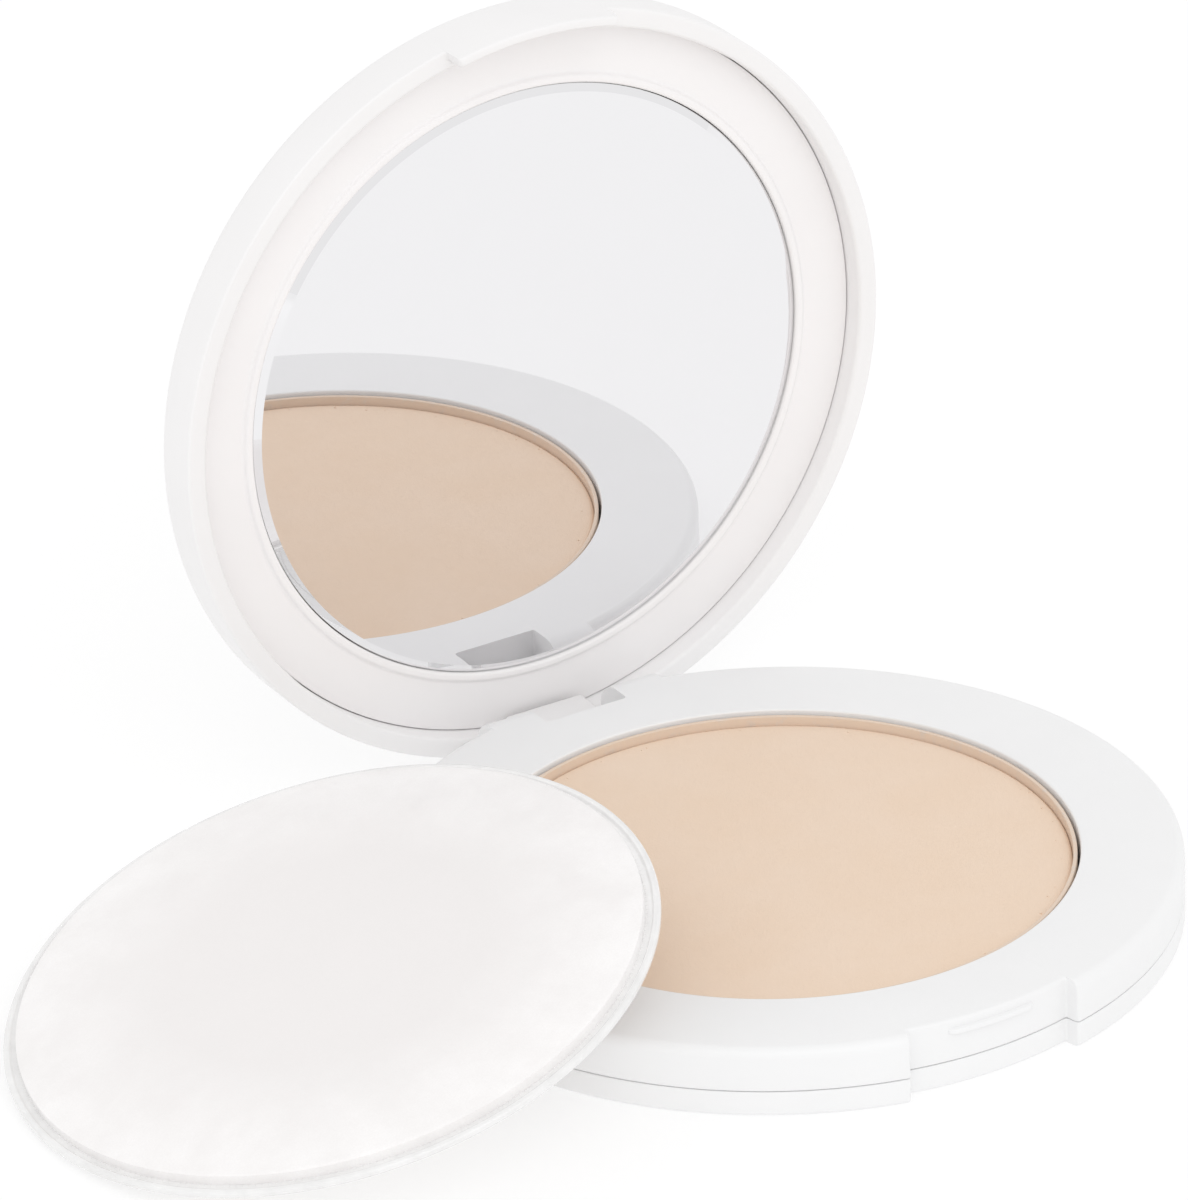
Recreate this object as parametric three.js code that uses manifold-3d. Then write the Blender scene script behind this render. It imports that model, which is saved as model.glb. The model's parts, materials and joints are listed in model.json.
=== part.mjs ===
// Powder compact: a round hinged case with a mirror in its lid, a pan of pressed powder in its
// base, and a loose puff that leans on the base's left edge.
//
// Millimetres, +Z up. The origin is the middle of the base's underside. The hinge is at +Y,
// the front catch at -Y. The lid's pieces are drawn where they lie when the compact is shut,
// and the lid's group then turns them about the hinge pin.

import * as THREE from "three";
import { mergeVertices } from "three/addons/utils/BufferGeometryUtils.js";
import Module from "manifold-3d";

const wasm = await Module();
wasm.setup();

// ---- Driving dimensions -------------------------------------------------------------------

// Base
const baseRadius = 38;
const baseHeight = 6.8;
const baseWall = 1.6;
const shoulderRadius = 1.0;
const deckThickness = 1.2;
const bezelWidth = 9.7; // flat ring between the case's outside and the powder well
const wellWall = 1.0;
const trayHeight = 2.3; // visible height of the lower tray's rim
const trayFloor = 1.2;
const spigotRoom = 1.0; // free height above the tray's locating wall
const spigotWall = 1.0;
const footChamfer = 0.4;

// Powder
const panWall = 0.4;
const panFloor = 0.4;
const panRimDepth = 0.4; // pan rim below the bezel
const powderDepth = 1.2; // powder face below the bezel
const glueThickness = 0.25;

// Shade label under the base
const labelRadius = 10.5;
const labelOffset = 19;
const labelThickness = 0.2;
const labelRecess = 0.45;

// Front catch
const recessAngle = 13.8; // half-angle of the thumb recess, degrees
const recessDepth = 1.5;
const recessBacking = 1.4;
const nibAngle = 7.2; // half-angle of the snap nib, degrees
const nibProud = 0.45;
const nibHeight = 0.7;
const nibBelowDeck = 0.8;
const tabReach = 2.5; // how far the lid's tab hangs below its rim
const tabWall = 0.9;
const tabLip = 0.15;
const tabLipHeight = 0.4;

// Hinge
const hingeInset = 1.79; // pin axis inside the case's outside
const hingeHeight = 2.18;
const pinRadius = 0.75;
const cheekHalfWidth = 9.5;
const cheekProud = 1.3; // how far the hinge block stands behind the base
const notchHalfWidth = 4.5;
const notchFront = 1.9; // pin axis to the notch's front wall
const notchFrontWall = 1.5;
const armFront = 1.5;
const armBack = 1.7;
const heelDrop = 1.75;
const heelWidth = 1.2;
const heelChamfer = 0.6;
const lidOpenAngle = 90;

// Lid
const lidOverhang = 0.2; // lid radius beyond the base's
const lidWall = 2.0;
const lidBack = 1.0;
const lidEdgeRadius = 1.5;
const lidCrown = 0.4;
const lidFaceDepth = 2.2; // rim to the inner ring's face
const lidFaceThickness = 1.2;
const lipWidth = 1.1; // raised lip round the mirror
const lipHeight = 0.35;
const mirrorBorder = 5.9; // inner ring between the lid's wall and the mirror
const mirrorProud = 0.3;
const mirrorThickness = 1.4;
const mirrorBevelWidth = 1.6;
const mirrorBevelDrop = 0.5;
const silverThickness = 0.2;
const padThickness = 0.3;
const padRadius = 26;
const pocketFloor = 0.5;
const frameRoom = 0.2; // inner ring's back to the inside of the shell

// Puff
const puffRadius = 31;
const puffReach = 40; // how far the puff's outer edge lies from the base
const puffFrontCrown = 2.0;
const puffBackCrown = 4.3;
const puffCover = 0.5;
const bindingWidth = 1.3;
const bindingThickness = 1.0;

// Clearances
const gap = 0.3; // between pieces that meet
const thinGap = 0.1; // between glued layers
const powderGap = 0.15; // round the powder in its pan
const pinClearance = 0.1;
const floorGap = 0.2;

const roundSegments = 48;
const arcStep = 3; // degrees, for sectors of a ring

// ---- Derived places -----------------------------------------------------------------------

const wellRadius = baseRadius - bezelWidth;
const bodyBottom = trayHeight + gap;
const bodyInner = baseRadius - baseWall;
const deckUnderside = baseHeight - deckThickness;
const spigotOuter = bodyInner - gap;
const spigotTop = deckUnderside - spigotRoom;

const hingeY = baseRadius - hingeInset;
const hingeZ = hingeHeight;
const cheekFront = hingeY - notchFront - notchFrontWall;
const cheekBack = baseRadius + cheekProud;
const recessFace = baseRadius - recessDepth;
const nibTop = baseHeight - nibBelowDeck;

const glueBottom = trayFloor + thinGap;
const panRadius = wellRadius - gap;
const panBottom = glueBottom + glueThickness + thinGap;
const panRim = baseHeight - panRimDepth;
const powderRadius = panRadius - panWall - powderGap;
const powderBottom = panBottom + panFloor + powderGap;
const powderTop = baseHeight - powderDepth;

const rimZ = baseHeight + gap;
const lidRadius = baseRadius + lidOverhang;
const lidInner = lidRadius - lidWall;
const lidFaceZ = rimZ + lidFaceDepth;
const frameRadius = lidInner - gap;
const pocketRadius = lidInner - mirrorBorder;
const mirrorRadius = pocketRadius - gap;
const mirrorFront = lidFaceZ - mirrorProud;
const mirrorBack = mirrorFront + mirrorThickness;
const silverBottom = mirrorBack + thinGap;
const padBottom = silverBottom + silverThickness + thinGap;
const pocketZ = padBottom + padThickness + thinGap;
const frameBack = pocketZ + pocketFloor;
const lidInsideZ = frameBack + frameRoom;
const lidBackZ = lidInsideZ + lidBack;
const tabOuter = lidRadius;
const tabInner = lidRadius - tabWall;
const tabBottom = rimZ - tabReach;
const tabAngle = recessAngle - THREE.MathUtils.radToDeg(0.4 / baseRadius);

const bindingInner = puffRadius - bindingWidth;
const coverRadius = bindingInner - gap;
const seamHalf = gap / 2;

// ---- Solid helpers ------------------------------------------------------------------------

function toSolid(geometry) {
  const bare = geometry.clone();
  bare.deleteAttribute("normal");
  bare.deleteAttribute("uv");
  const merged = mergeVertices(bare, 1e-4);
  const vertProperties = new Float32Array(merged.attributes.position.array);
  const index = merged.index.array;
  const faces = [];
  for (let i = 0; i < index.length; i += 3) {
    const [a, b, c] = [index[i], index[i + 1], index[i + 2]];
    if (a !== b && b !== c && c !== a) faces.push([a, b, c]);
  }
  const build = (list) => {
    const triVerts = new Uint32Array(list.flat());
    return new wasm.Manifold(new wasm.Mesh({ numProp: 3, vertProperties, triVerts }));
  };
  const solid = build(faces);
  return solid.volume() > 0 ? solid : build(faces.map(([a, b, c]) => [a, c, b]));
}

function toGeometry(solid) {
  const mesh = solid.getMesh();
  const count = mesh.vertProperties.length / mesh.numProp;
  const positions = new Float32Array(count * 3);
  for (let i = 0; i < count; i += 1) {
    for (let k = 0; k < 3; k += 1) {
      positions[3 * i + k] = mesh.vertProperties[mesh.numProp * i + k];
    }
  }
  const geometry = new THREE.BufferGeometry();
  geometry.setAttribute("position", new THREE.BufferAttribute(positions, 3));
  geometry.setIndex(new THREE.BufferAttribute(new Uint32Array(mesh.triVerts), 1));
  geometry.computeVertexNormals();
  return geometry;
}

// A solid of revolution about Z, from [radius, height] pairs that close on themselves or
// start and end on the axis.
function turned(pairs, segments = roundSegments) {
  const onAxis = pairs[0][0] === 0 && pairs.at(-1)[0] === 0;
  const loop = onAxis ? pairs : [...pairs, pairs[0]];
  const points = loop.map(([radius, height]) => new THREE.Vector2(radius, height));
  const geometry = new THREE.LatheGeometry(points, segments);
  geometry.rotateX(Math.PI / 2);
  return toSolid(geometry);
}

// A piece of a ring, centred on the -Y direction.
function frontSector(inner, outer, bottom, top, halfAngle) {
  const steps = Math.ceil((2 * halfAngle) / arcStep);
  const half = THREE.MathUtils.degToRad(halfAngle);
  const shape = new THREE.Shape();
  const at = (radius, step) => {
    const angle = -Math.PI / 2 - half + (2 * half * step) / steps;
    return [radius * Math.cos(angle), radius * Math.sin(angle)];
  };
  shape.moveTo(...at(outer, 0));
  for (let step = 1; step <= steps; step += 1) shape.lineTo(...at(outer, step));
  for (let step = steps; step >= 0; step -= 1) shape.lineTo(...at(inner, step));
  const geometry = new THREE.ExtrudeGeometry(shape, { depth: top - bottom, bevelEnabled: false });
  geometry.translate(0, 0, bottom);
  return toSolid(geometry);
}

function block(minX, maxX, minY, maxY, minZ, maxZ) {
  const geometry = new THREE.BoxGeometry(maxX - minX, maxY - minY, maxZ - minZ);
  geometry.translate((minX + maxX) / 2, (minY + maxY) / 2, (minZ + maxZ) / 2);
  return toSolid(geometry);
}

// A rod along X on the hinge axis.
function hingeRod(radius, halfLength, segments = 24) {
  const geometry = new THREE.CylinderGeometry(radius, radius, 2 * halfLength, segments);
  geometry.rotateZ(Math.PI / 2);
  geometry.translate(0, hingeY, hingeZ);
  return toSolid(geometry);
}

// Points on a quarter circle in the [radius, height] plane, from one angle to another.
function arcPairs(centreR, centreZ, radius, fromDegrees, toDegrees, steps) {
  return Array.from({ length: steps + 1 }, (_, i) => {
    const angle = THREE.MathUtils.degToRad(fromDegrees + ((toDegrees - fromDegrees) * i) / steps);
    return [centreR + radius * Math.cos(angle), centreZ + radius * Math.sin(angle)];
  });
}

// ---- Base ---------------------------------------------------------------------------------

function baseTray() {
  const ring = turned([
    [0, 0],
    [baseRadius - footChamfer, 0],
    [baseRadius, footChamfer],
    [baseRadius, trayHeight],
    [spigotOuter, trayHeight],
    [spigotOuter, spigotTop],
    [spigotOuter - spigotWall, spigotTop],
    [spigotOuter - spigotWall, trayFloor],
    [0, trayFloor],
  ]);
  const hingeRoom = block(
    -cheekHalfWidth - gap, cheekHalfWidth + gap, cheekFront - gap, cheekBack + 1, -1, baseHeight);
  const catchRoom = frontSector(
    recessFace - recessBacking - gap, baseRadius + 1, trayHeight, baseHeight, recessAngle + 3);
  const thumbRecess = frontSector(recessFace, baseRadius + 1, -1, baseHeight, recessAngle);
  const labelDisc = new THREE.CylinderGeometry(
    labelRadius + gap, labelRadius + gap, 2 * labelRecess, 32);
  labelDisc.rotateX(Math.PI / 2);
  labelDisc.translate(0, -labelOffset, 0);
  return ring
    .subtract(hingeRoom)
    .subtract(catchRoom)
    .subtract(thumbRecess)
    .subtract(toSolid(labelDisc));
}

function baseBody() {
  const ring = turned([
    [baseRadius, bodyBottom],
    ...arcPairs(baseRadius - shoulderRadius, baseHeight - shoulderRadius, shoulderRadius, 0, 90, 3),
    [wellRadius + 0.2, baseHeight],
    [wellRadius, baseHeight - 0.2],
    [wellRadius, trayFloor + gap],
    [wellRadius + wellWall, trayFloor + gap],
    [wellRadius + wellWall, deckUnderside],
    [bodyInner, deckUnderside],
    [bodyInner, bodyBottom],
  ]);
  const catchBacking = frontSector(
    recessFace - recessBacking, bodyInner + 0.2, bodyBottom, deckUnderside + 0.2, recessAngle + 2);
  const thumbRecess = frontSector(recessFace, baseRadius + 1, -1, baseHeight + 1, recessAngle);
  const nib = frontSector(
    recessFace - 0.4, recessFace + nibProud, nibTop - nibHeight, nibTop, nibAngle);
  // The hinge block is rounded about the pin, so that the lid's rim swings past it.
  const swingCorner = block(
    -cheekHalfWidth - 1, cheekHalfWidth + 1, hingeY, cheekBack + 1, hingeZ, baseHeight + 1)
    .subtract(hingeRod(baseHeight - hingeZ, cheekHalfWidth + 2, roundSegments));
  const cheeks = block(
    -cheekHalfWidth, cheekHalfWidth, cheekFront, cheekBack, gap, baseHeight)
    .subtract(swingCorner);
  const notch = block(
    -notchHalfWidth, notchHalfWidth, hingeY - notchFront, cheekBack + 1, -1, baseHeight + 1);
  return ring
    .add(catchBacking)
    .subtract(thumbRecess)
    .add(nib)
    .add(cheeks)
    .subtract(notch)
    .subtract(hingeRod(pinRadius + pinClearance, cheekHalfWidth + 1));
}

function hingePin() {
  return hingeRod(pinRadius, cheekHalfWidth - floorGap);
}

function powderPan() {
  return turned([
    [0, panBottom],
    [panRadius, panBottom],
    [panRadius, panRim],
    [panRadius - panWall, panRim],
    [panRadius - panWall, panBottom + panFloor],
    [0, panBottom + panFloor],
  ]);
}

function pressedPowder() {
  return turned([
    [0, powderBottom],
    [powderRadius, powderBottom],
    [powderRadius, powderTop - 0.3],
    [powderRadius - 0.4, powderTop],
    [0, powderTop],
  ]);
}

function panGlue() {
  return turned([
    [0, glueBottom],
    [panRadius - 6, glueBottom],
    [panRadius - 6, glueBottom + glueThickness],
    [0, glueBottom + glueThickness],
  ], 32);
}

function shadeLabel() {
  const disc = new THREE.CylinderGeometry(labelRadius, labelRadius, labelThickness, 32);
  disc.rotateX(Math.PI / 2);
  disc.translate(0, -labelOffset, labelRecess - thinGap - labelThickness / 2);
  return toSolid(disc);
}

// ---- Lid, drawn shut ----------------------------------------------------------------------

// The hinge arm: a knuckle round the pin, squared at its heel so that it stops against the
// notch's front wall when the lid stands open, and a web up to the lid's rim.
function hingeArm() {
  const halfWidth = notchHalfWidth - gap;
  const top = lidFaceZ - gap;
  const outline = new THREE.Shape();
  outline.moveTo(hingeY - armFront, top);
  outline.lineTo(hingeY - armFront, hingeZ);
  outline.absellipse(hingeY, hingeZ, armFront, heelDrop, Math.PI, 1.5 * Math.PI, false, 0);
  outline.lineTo(hingeY + heelWidth, hingeZ - heelDrop);
  outline.lineTo(hingeY + armBack, hingeZ - heelDrop + heelChamfer);
  outline.lineTo(hingeY + armBack, top);
  const options = { depth: 2 * halfWidth, bevelEnabled: false, curveSegments: 6 };
  const geometry = new THREE.ExtrudeGeometry(outline, options);
  // The outline's axes are Y and Z, so the sweep is turned to run along X.
  geometry.translate(0, 0, -halfWidth);
  const turn = new THREE.Matrix4().set(0, 0, 1, 0, 1, 0, 0, 0, 0, 1, 0, 0, 0, 0, 0, 1);
  geometry.applyMatrix4(turn);
  return toSolid(geometry);
}

function lidShell() {
  const cup = turned([
    [0, lidBackZ + lidCrown],
    [lidRadius / 2, lidBackZ + 0.75 * lidCrown],
    ...arcPairs(
      lidRadius - lidEdgeRadius, lidBackZ - lidEdgeRadius, lidEdgeRadius, 90, 0, 4),
    [lidRadius, rimZ + 0.2],
    [lidRadius - 0.2, rimZ],
    [lidInner + 0.3, rimZ],
    [lidInner, rimZ + 0.3],
    [lidInner, lidInsideZ],
    [0, lidInsideZ],
  ]);
  const tab = frontSector(tabInner, tabOuter, tabBottom, rimZ + 0.5, tabAngle);
  const lip = frontSector(
    tabInner - tabLip, tabInner + 0.2, tabBottom, tabBottom + tabLipHeight, nibAngle);
  return cup
    .add(tab)
    .add(lip)
    .add(hingeArm())
    .subtract(hingeRod(pinRadius + pinClearance, cheekHalfWidth));
}

function lidInnerFrame() {
  const cupRadius = pocketRadius + lidFaceThickness;
  return turned([
    [0, pocketZ],
    [pocketRadius, pocketZ],
    [pocketRadius, lidFaceZ - lipHeight + 0.15],
    [pocketRadius + 0.15, lidFaceZ - lipHeight],
    [pocketRadius + lipWidth - 0.5, lidFaceZ - lipHeight],
    [pocketRadius + lipWidth, lidFaceZ],
    [frameRadius, lidFaceZ],
    [frameRadius, lidFaceZ + lidFaceThickness],
    [cupRadius, lidFaceZ + lidFaceThickness],
    [cupRadius, frameBack],
    [0, frameBack],
  ]);
}

function mirrorGlass() {
  return turned([
    [0, mirrorFront],
    [mirrorRadius - mirrorBevelWidth, mirrorFront],
    [mirrorRadius, mirrorFront + mirrorBevelDrop],
    [mirrorRadius, mirrorBack],
    [0, mirrorBack],
  ]);
}

function mirrorSilvering() {
  return turned([
    [0, silverBottom],
    [mirrorRadius - 0.2, silverBottom],
    [mirrorRadius - 0.2, silverBottom + silverThickness],
    [0, silverBottom + silverThickness],
  ], 32);
}

function mirrorPad() {
  return turned([
    [0, padBottom],
    [padRadius, padBottom],
    [padRadius, padBottom + padThickness],
    [0, padBottom + padThickness],
  ], 32);
}

// ---- Puff, drawn flat about its own middle --------------------------------------------------

// Height of the soft face above the seam at a radius: flat over the middle for a high
// fullness, domed for a low one, and steeper at the edge for a low power.
function crown(radius, height, fullness, power) {
  return height * Math.max(0, 1 - (radius / puffRadius) ** fullness) ** power;
}

const frontHeight = (radius) => crown(radius, puffFrontCrown, 6, 0.5);
const backHeight = (radius) => crown(radius, puffBackCrown, 2.2, 1);
const crownRadii = [0, 0.45, 0.7, 0.86, 1].map((share) => share * coverRadius);

function coverPairs(height) {
  const outside = crownRadii.map((radius) => [radius, seamHalf + height(radius)]);
  const inside = crownRadii.slice(0, -1).map((radius) => [
    radius, Math.max(seamHalf, seamHalf + height(radius) - puffCover)]);
  return [...outside, [coverRadius, seamHalf], [coverRadius - puffCover, seamHalf],
    ...inside.reverse()];
}

function puffFront() {
  return turned(coverPairs(frontHeight));
}

function puffBack() {
  return turned(coverPairs(backHeight).map(([radius, height]) => [radius, -height]));
}

function puffFoam() {
  const inset = puffCover + gap;
  const top = crownRadii.slice(0, -1).map((radius) => [
    radius, Math.max(0.2, seamHalf + frontHeight(radius) - inset)]);
  const bottom = crownRadii.slice(0, -1).map((radius) => [
    radius, -Math.max(0.2, seamHalf + backHeight(radius) - inset)]);
  return turned([...top, ...bottom.reverse()], 32);
}

function puffBinding() {
  const half = bindingThickness / 2;
  return turned([
    [bindingInner, -half],
    [puffRadius - 0.4, -half],
    [puffRadius, -half / 2],
    [puffRadius, half / 2],
    [puffRadius - 0.4, half],
    [bindingInner, half],
  ]);
}

// The puff's outer edge stands on the ground and its domed back leans on the base's shoulder.
// This raises the puff until the back clears the shoulder.
function puffRest() {
  const edgeX = -baseRadius - puffReach;
  const shoulder = arcPairs(
    baseRadius - shoulderRadius, baseHeight - shoulderRadius, shoulderRadius, 0, 90, 6);
  const place = (tilt) => new THREE.Vector2(
    edgeX + puffRadius * Math.cos(tilt),
    floorGap + puffRadius * Math.sin(tilt) + (bindingThickness / 2) * Math.cos(tilt));
  const clears = (tilt) => shoulder.every(([radius, height]) => {
    const offset = new THREE.Vector2(-radius, height).sub(place(tilt));
    const along = offset.x * Math.cos(tilt) + offset.y * Math.sin(tilt);
    const below = offset.x * Math.sin(tilt) - offset.y * Math.cos(tilt);
    return below >= seamHalf + backHeight(Math.abs(along)) + gap;
  });
  const step = THREE.MathUtils.degToRad(0.05);
  let tilt = 0;
  while (!clears(tilt) && tilt < Math.PI / 3) tilt += step;
  return { tilt, centre: place(tilt) };
}

// ---- Assembly -------------------------------------------------------------------------------

function material(color, roughness, metalness = 0) {
  return new THREE.MeshStandardMaterial({ color, roughness, metalness });
}

const whitePlastic = material(0xf0eff0, 0.35);
const lidPlastic = material(0xf2efef, 0.35);
const framePlastic = material(0xefecec, 0.4);
const tinplate = material(0xc9c9c6, 0.35, 1);
const steel = material(0xb8b8ba, 0.3, 1);
const powderMaterial = material(0xe4cfbc, 0.95);
const glue = material(0xe6e0c8, 0.6);
const paper = material(0xf7f6f2, 0.8);
const glassMaterial = material(0xebedf1, 0.05);
const silver = material(0xe6e8ea, 0.1, 1);
const foam = material(0xf2e9e0, 0.9);
const velour = material(0xf4efee, 0.8);
const satin = material(0xf6f1f0, 0.5);
const binding = material(0xf7f5f4, 0.3);

function node(name, solid, look) {
  const mesh = new THREE.Mesh(toGeometry(solid), look);
  mesh.name = name;
  return mesh;
}

const base = new THREE.Group();
base.add(
  node("base_tray", baseTray(), whitePlastic),
  node("base_body", baseBody(), whitePlastic),
  node("powder_pan", powderPan(), tinplate),
  node("pressed_powder", pressedPowder(), powderMaterial),
  node("pan_glue", panGlue(), glue),
  node("shade_label", shadeLabel(), paper),
  node("hinge_pin", hingePin(), steel),
);

const lid = new THREE.Group();
lid.add(
  node("lid_shell", lidShell(), lidPlastic),
  node("lid_inner_frame", lidInnerFrame(), framePlastic),
  node("mirror_glass", mirrorGlass(), glassMaterial),
  node("mirror_silvering", mirrorSilvering(), silver),
  node("mirror_pad", mirrorPad(), glue),
);
lid.position.set(0, -hingeY, -hingeZ);

const lidPivot = new THREE.Group();
lidPivot.position.set(0, hingeY, hingeZ);
lidPivot.rotation.x = -THREE.MathUtils.degToRad(lidOpenAngle);
lidPivot.add(lid);

const puff = new THREE.Group();
puff.add(
  node("puff_front", puffFront(), velour),
  node("puff_back", puffBack(), satin),
  node("puff_foam", puffFoam(), foam),
  node("puff_binding", puffBinding(), binding),
);
const rest = puffRest();
puff.position.set(rest.centre.x, 0, rest.centre.y);
puff.rotation.y = -rest.tilt;

const compact = new THREE.Group();
compact.name = "powder_compact";
compact.add(base, lidPivot, puff);

export default compact;
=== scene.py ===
"""Powder compact: a round white case standing open, with a mirror in its lid, a cake of pressed
powder in its base and a soft puff leaning on its edge.

The file is laid out as a Blender add-on and is run as a script. Every size is in metres, in the
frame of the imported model: +Z up, the hinge at +Y, the catch at -Y.
"""

import json
import math

import bmesh
import bpy
import numpy as np
from bpy.props import FloatProperty, FloatVectorProperty, IntProperty, PointerProperty
from mathutils import Matrix, Vector, noise


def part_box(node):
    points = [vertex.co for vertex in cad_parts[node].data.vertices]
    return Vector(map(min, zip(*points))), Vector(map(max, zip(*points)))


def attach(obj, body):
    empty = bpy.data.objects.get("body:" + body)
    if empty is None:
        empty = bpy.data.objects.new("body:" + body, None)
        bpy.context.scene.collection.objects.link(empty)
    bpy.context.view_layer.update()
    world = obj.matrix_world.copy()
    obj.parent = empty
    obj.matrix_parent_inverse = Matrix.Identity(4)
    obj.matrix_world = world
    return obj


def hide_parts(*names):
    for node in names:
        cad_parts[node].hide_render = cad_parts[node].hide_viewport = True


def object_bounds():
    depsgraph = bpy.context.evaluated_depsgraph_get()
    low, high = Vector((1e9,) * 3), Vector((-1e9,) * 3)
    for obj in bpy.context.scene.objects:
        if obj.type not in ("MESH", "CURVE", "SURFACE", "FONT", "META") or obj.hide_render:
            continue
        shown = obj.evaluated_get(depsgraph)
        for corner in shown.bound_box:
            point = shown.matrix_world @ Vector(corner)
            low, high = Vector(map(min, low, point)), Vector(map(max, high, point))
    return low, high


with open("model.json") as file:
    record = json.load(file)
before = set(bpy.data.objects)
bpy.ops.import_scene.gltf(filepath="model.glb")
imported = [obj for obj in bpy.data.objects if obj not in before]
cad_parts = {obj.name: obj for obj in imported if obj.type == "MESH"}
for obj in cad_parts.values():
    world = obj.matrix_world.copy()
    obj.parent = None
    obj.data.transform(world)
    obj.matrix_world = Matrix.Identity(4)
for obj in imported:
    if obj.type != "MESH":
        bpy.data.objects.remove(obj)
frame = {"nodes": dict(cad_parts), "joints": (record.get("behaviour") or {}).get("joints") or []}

bl_info = {
    "name": "Powder Compact",
    "version": (1, 0, 0),
    "blender": (4, 5, 0),
    "location": "3D View > Sidebar > Compact",
    "description": "Builds a powder compact with its mirror, powder and puff",
    "category": "Object",
}

MM = 0.001
CAD_BOX = [list(corner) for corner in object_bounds()]

# ---- Places read from the frame -------------------------------------------------------------

CASE_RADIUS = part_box("base_body")[1].x
CASE_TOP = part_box("base_body")[1].z
HINGE_BLOCK_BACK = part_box("base_body")[1].y
PAN_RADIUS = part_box("powder_pan")[1].x
PAN_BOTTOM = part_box("powder_pan")[0].z
PAN_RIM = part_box("powder_pan")[1].z
POWDER_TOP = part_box("pressed_powder")[1].z
POWDER_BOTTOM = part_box("pressed_powder")[0].z
WELL_RADIUS = PAN_RADIUS + 0.3 * MM

LID_JOINT = next(joint for joint in frame["joints"] if joint["name"] == "lid_hinge")
HINGE = Vector(LID_JOINT["pos_m"])
LID_OPEN = (
    Matrix.Translation(HINGE) @ Matrix.Rotation(-math.pi / 2, 4, "X") @ Matrix.Translation(-HINGE)
)


def shut_height(open_y):
    """Height, with the lid shut, of a plane that stands at this Y with the lid open."""
    return HINGE.z + open_y - HINGE.y


LID_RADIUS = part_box("lid_shell")[1].x
LID_CROWN_TOP = shut_height(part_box("lid_shell")[1].y)
LID_FACE = shut_height(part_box("lid_inner_frame")[0].y)
LID_FRAME_BACK = shut_height(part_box("lid_inner_frame")[1].y)
LID_FRAME_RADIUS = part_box("lid_inner_frame")[1].x
MIRROR_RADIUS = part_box("mirror_glass")[1].x
MIRROR_FRONT = shut_height(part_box("mirror_glass")[0].y)
MIRROR_BACK = shut_height(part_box("mirror_glass")[1].y)
SILVER_BACK = shut_height(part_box("mirror_silvering")[1].y)


def puff_placement():
    """The puff's radius, and the matrix that sets it in place, from its edge binding."""
    corners = np.array([v.co for v in frame["nodes"]["puff_binding"].data.vertices])
    centre = corners.mean(axis=0)
    axes = np.linalg.svd(corners - centre, full_matrices=False)[2]
    up = Vector(axes[2]) * math.copysign(1, axes[2][2])
    along = Vector((1, 0, 0))
    along = (along - up * along.dot(up)).normalized()
    turn = Matrix((along, up.cross(along), up)).transposed().to_4x4()
    radius = np.linalg.norm(corners - centre, axis=1).max()
    return float(radius), Matrix.Translation(Vector(centre)) @ turn


PUFF_RADIUS, PUFF_PLACE = puff_placement()

# ---- Fixed sizes ----------------------------------------------------------------------------

PIN_BORE = 0.85 * MM  # radius of the holes that the hinge pin runs in
CORNER = 0.3 * MM  # rounding where the rim's section changes
ARC_FROM = 0.84 * CASE_RADIUS  # radius past which the rear columns follow circles
TRAY_FLOOR = 1.2 * MM
TRAY_BEHIND_NOTCH = 1.8 * MM  # tray's cut-away edge in front of the notch
NOTCH_WALL = 1.5 * MM
NOTCH_DEPTH = 9 * MM
RECESS_BACKING = 1.4 * MM
WELL_WALL = 1.0 * MM
WELL_BOTTOM = 1.5 * MM
PAN_WALL = 0.4 * MM
NIB_HALF_ANGLE = math.radians(7.2)
NIB_TOP = CASE_TOP - 0.8 * MM
NIB_BOTTOM = CASE_TOP - 1.5 * MM
NIB_PROUD = 0.45 * MM
LINING_THICKNESS = 1.2 * MM
GLOSS = {"base": 0.37, "lid": 0.37, "lining": 0.4}
SEAM_LAP = 0.15 * MM  # how far the puff's cover runs into its welded edge
FRONT_FULLNESS = (9, 0.6)  # exponents of the puff's crown
BACK_FULLNESS = (2.2, 1)
CLOTH_SCALE = 10.0
CLOTH_FRAMES = 12
CLOTH_PRESSURE = 4.0
CLOTH_REACH = 0.18 * MM  # furthest that the simulation may move a point
SOFTBOX_PLACE = (-0.3, -1.0, 1.05)
SOFTBOX_SIZE = 1.2
CAMERA_PLACE = (-0.4189, -0.6824, 0.4397)
CAMERA_RIGHT = (0.8543, -0.5189, -0.0308)
CAMERA_BACK = (-0.4510, -0.7694, 0.4524)


# ---- Settings -------------------------------------------------------------------------------

def length(label, default, description):
    return FloatProperty(name=label, description=description, default=default, unit="LENGTH",
                         precision=5)


def colour(label, default, description):
    return FloatVectorProperty(name=label, description=description, default=default, size=3,
                               subtype="COLOR", min=0, max=1)


class CaseSettings(bpy.types.PropertyGroup):
    tray_top: length("Tray height", 2.5 * MM, "Height of the parting line round the base")
    parting_gap: length("Parting gap", 0.1 * MM, "Groove between the tray and the upper body")
    shoulder: length("Shoulder", 1.0 * MM, "Rounding of the base's top edge")
    well_edge: length("Well edge", 0.2 * MM, "Rounding of the powder well's edge")
    foot: length("Foot", 0.4 * MM, "Rounding of the base's lower edge")
    wall: length("Wall", 1.6 * MM, "Thickness of the base's side wall")
    deck: length("Deck", 1.2 * MM, "Thickness of the flat ring round the well")
    recess_angle: FloatProperty(
        name="Recess half-angle", description="Half the width of the thumb recess",
        default=math.radians(13.8), subtype="ANGLE")
    recess_depth: length("Recess depth", 1.5 * MM, "Depth of the thumb recess")
    base_colour: colour("Base", (0.88, 0.88, 0.882), "White of the base's mouldings")
    lid_colour: colour("Lid", (0.89, 0.88, 0.88), "White of the lid's shell")
    frame_colour: colour("Lid lining", (0.915, 0.897, 0.897), "White of the ring round the mirror")


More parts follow.
